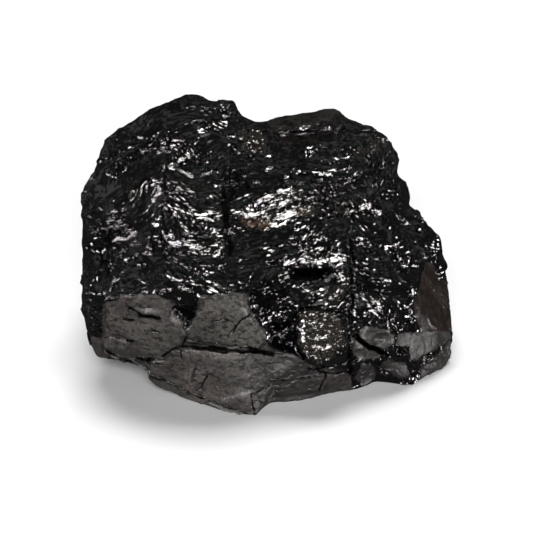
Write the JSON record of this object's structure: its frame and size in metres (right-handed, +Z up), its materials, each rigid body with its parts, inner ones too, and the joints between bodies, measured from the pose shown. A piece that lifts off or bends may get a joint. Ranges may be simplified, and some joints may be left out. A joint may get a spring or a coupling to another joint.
{
  "type": "shungite nugget",
  "caption": "Rough lump of glossy black stone with shell-shaped breaks above a band of dull grey joint faces, lying on a flat face.",
  "frame": {"origin": "on the supporting surface, under the middle of the nugget's width and depth", "axes": "+X along the nugget's longest side, to the right as seen from the dull band; +Y from the dull band to the back; +Z up"},
  "size_m": [0.0566, 0.0422, 0.0334],
  "materials": {
    "shungite": "glossy black broken carbon stone, dull grey on its flat joint faces"
  },
  "bodies": {
    "root": {"nugget": "shungite"}
  },
  "joints": []
}
